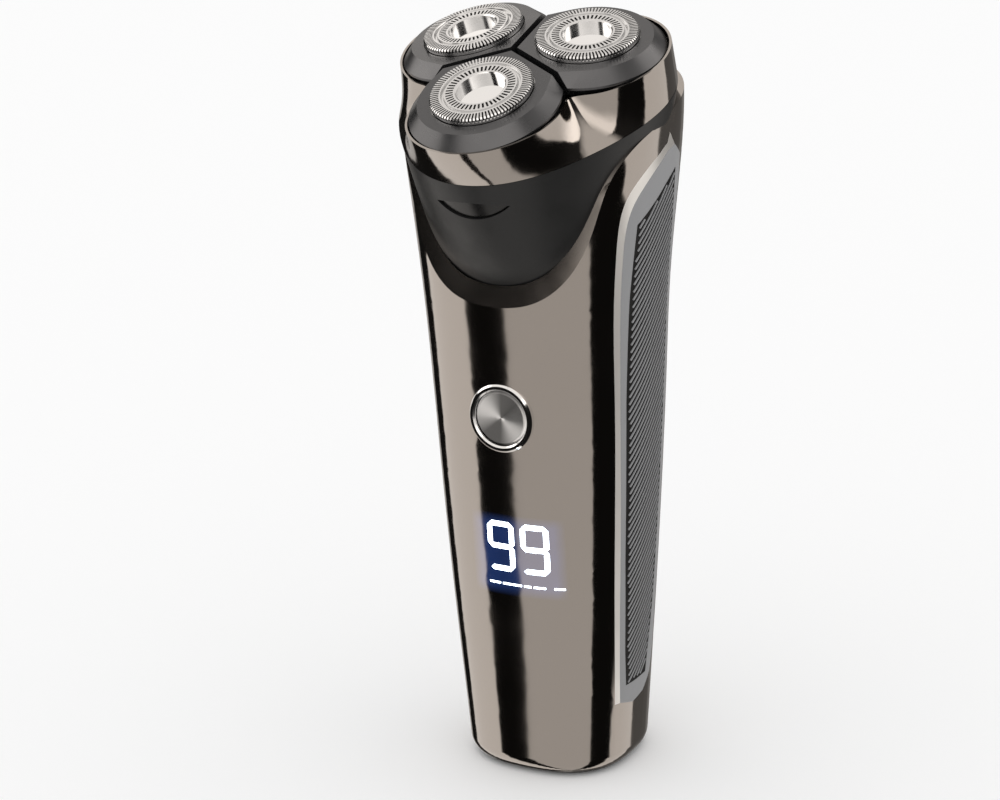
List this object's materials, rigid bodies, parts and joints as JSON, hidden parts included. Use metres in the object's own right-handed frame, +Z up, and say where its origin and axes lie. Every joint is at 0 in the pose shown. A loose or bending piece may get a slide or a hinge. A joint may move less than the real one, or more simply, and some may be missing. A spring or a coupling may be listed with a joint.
{
  "type": "rotary electric shaver",
  "caption": "Cordless rotary electric shaver with flexing round shaving heads on a flip-up head unit, tapered handle with side grips, power button and display.",
  "frame": {"origin": "middle of the flat resting base", "axes": "+Z up along the handle, -Y towards the front with the power button and display, +X to the right seen from the front"},
  "size_m": [0.0589, 0.0638, 0.1627],
  "materials": {
    "gunmetal_gloss": "high gloss metallic lacquer",
    "black_matte": "fine matte grain",
    "side_rubber": "soft matte",
    "light_trim": "satin bright metal",
    "bright_ring": "polished",
    "spun_metal": "spun",
    "cap_steel": "ground steel",
    "frame_plastic": "moulded",
    "gear_plastic": "natural acetal",
    "pinion_brass": "machined",
    "plain_steel": "turned",
    "cell_wrap": "shrink wrap",
    "board_green": "solder mask"
  },
  "bodies": {
    "handle": {"front_panel": "gunmetal_gloss", "rear_shell": "gunmetal_gloss", "collar": "black_matte", "base_cap": "black_matte", "base_insert": "frame_plastic", "side_trim_left": "light_trim", "side_trim_right": "light_trim", "side_grip_left": "side_rubber", "side_grip_right": "side_rubber", "charge_contacts": "pinion_brass", "base_screws": "plain_steel", "chassis": "frame_plastic", "battery_cell": "cell_wrap", "main_board": "board_green", "display_module": "frame_plastic", "tact_switch": "plain_steel", "button_ring": "bright_ring", "hinge_pin": "plain_steel", "gear_housing": "frame_plastic", "gear_axles": "plain_steel", "motor_can": "plain_steel", "motor_end_bell": "frame_plastic", "tip_seals": "side_rubber"},
    "rotor": {"motor_shaft": "plain_steel", "motor_core": "plain_steel", "drive_pinion": "pinion_brass"},
    "wheel_front": {"drive_wheel_front": "gear_plastic"},
    "wheel_right": {"drive_wheel_right": "gear_plastic"},
    "wheel_left": {"drive_wheel_left": "gear_plastic"},
    "coupler_front": {"drive_coupler_front": "gear_plastic"},
    "coupler_right": {"drive_coupler_right": "gear_plastic"},
    "coupler_left": {"drive_coupler_left": "gear_plastic"},
    "head": {"head_shell": "gunmetal_gloss", "head_frame": "frame_plastic"},
    "lock": {"lock_knob": "gear_plastic"},
    "pad_unit_front": {"pad_front": "black_matte", "cap_front": "cap_steel", "cap_disc_front": "bright_ring"},
    "pad_unit_right": {"pad_right": "black_matte", "cap_right": "cap_steel", "cap_disc_right": "bright_ring"},
    "pad_unit_left": {"pad_left": "black_matte", "cap_left": "cap_steel", "cap_disc_left": "bright_ring"},
    "cutter_unit_front": {"cutter_front": "cap_steel"},
    "cutter_unit_right": {"cutter_right": "cap_steel"},
    "cutter_unit_left": {"cutter_left": "cap_steel"},
    "latch": {"release_button": "black_matte"},
    "button": {"power_button": "spun_metal"}
  },
  "joints": [
    {"name": "head_flip", "type": "hinge", "parent": "handle", "child": "head", "pos_m": [0, 0.02091, 0.1547], "axis": [-1, 0, 0], "range_deg": [0, 110]},
    {"name": "release_press", "type": "slide", "parent": "handle", "child": "latch", "axis": [0, 0.9311, 0.3649], "range_m": [0, 0.0012]},
    {"name": "power_press", "type": "slide", "parent": "handle", "child": "button", "axis": [0, 1, 0], "range_m": [0, 0.0008]},
    {"name": "lock_turn", "type": "hinge", "parent": "head", "child": "lock", "pos_m": [0, -0.00775, 0.14588], "axis": [0, -0.3649, 0.9311], "range_deg": [0, 90]},
    {"name": "rotor_spin", "type": "hinge", "parent": "handle", "child": "rotor", "pos_m": [0, -0.001, 0.12866], "axis": [0, -0.3649, 0.9311], "continuous": true},
    {"name": "wheel_front_spin", "type": "hinge", "parent": "handle", "child": "wheel_front", "pos_m": [0, -0.01904, 0.1334], "axis": [0, -0.3649, 0.9311], "continuous": true},
    {"name": "coupler_front_slide", "type": "slide", "parent": "wheel_front", "child": "coupler_front", "axis": [0, 0.3649, -0.9311], "range_m": [0, 0.0009]},
    {"name": "pad_front_tilt", "type": "hinge", "parent": "head", "child": "pad_unit_front", "pos_m": [0, -0.02597, 0.15109], "axis": [1, 0, 0], "range_deg": [-3, 3]},
    {"name": "cutter_front_spin", "type": "hinge", "parent": "pad_unit_front", "child": "cutter_unit_front", "pos_m": [0, -0.02462, 0.14842], "axis": [0, -0.4509, 0.8926], "continuous": true},
    {"name": "wheel_right_spin", "type": "hinge", "parent": "handle", "child": "wheel_right", "pos_m": [0.01304, 0.00199, 0.14165], "axis": [0, -0.3649, 0.9311], "continuous": true},
    {"name": "coupler_right_slide", "type": "slide", "parent": "wheel_right", "child": "coupler_right", "axis": [0, 0.3649, -0.9311], "range_m": [0, 0.0009]},
    {"name": "pad_right_tilt", "type": "hinge", "parent": "head", "child": "pad_unit_right", "pos_m": [0.01304, -0.00494, 0.15934], "axis": [-0.5, 0.8063, 0.316], "range_deg": [-3, 3]},
    {"name": "cutter_right_spin", "type": "hinge", "parent": "pad_unit_right", "child": "cutter_unit_right", "pos_m": [0.0128, -0.00398, 0.15651], "axis": [0.0815, -0.3194, 0.9441], "continuous": true},
    {"name": "wheel_left_spin", "type": "hinge", "parent": "handle", "child": "wheel_left", "pos_m": [-0.01304, 0.00199, 0.14165], "axis": [0, -0.3649, 0.9311], "continuous": true},
    {"name": "coupler_left_slide", "type": "slide", "parent": "wheel_left", "child": "coupler_left", "axis": [0, 0.3649, -0.9311], "range_m": [0, 0.0009]},
    {"name": "pad_left_tilt", "type": "hinge", "parent": "head", "child": "pad_unit_left", "pos_m": [-0.01304, -0.00494, 0.15934], "axis": [-0.5, -0.8063, -0.316], "range_deg": [-3, 3]},
    {"name": "cutter_left_spin", "type": "hinge", "parent": "pad_unit_left", "child": "cutter_unit_left", "pos_m": [-0.0128, -0.00398, 0.15651], "axis": [-0.0815, -0.3194, 0.9441], "continuous": true}
  ],
  "couplings": [
    {"joint": "wheel_front_spin", "follows": "rotor_spin", "ratio": -0.66667},
    {"joint": "cutter_front_spin", "follows": "rotor_spin", "ratio": -0.66667},
    {"joint": "wheel_right_spin", "follows": "rotor_spin", "ratio": -0.66667},
    {"joint": "cutter_right_spin", "follows": "rotor_spin", "ratio": -0.66667},
    {"joint": "wheel_left_spin", "follows": "rotor_spin", "ratio": -0.66667},
    {"joint": "cutter_left_spin", "follows": "rotor_spin", "ratio": -0.66667}
  ]
}
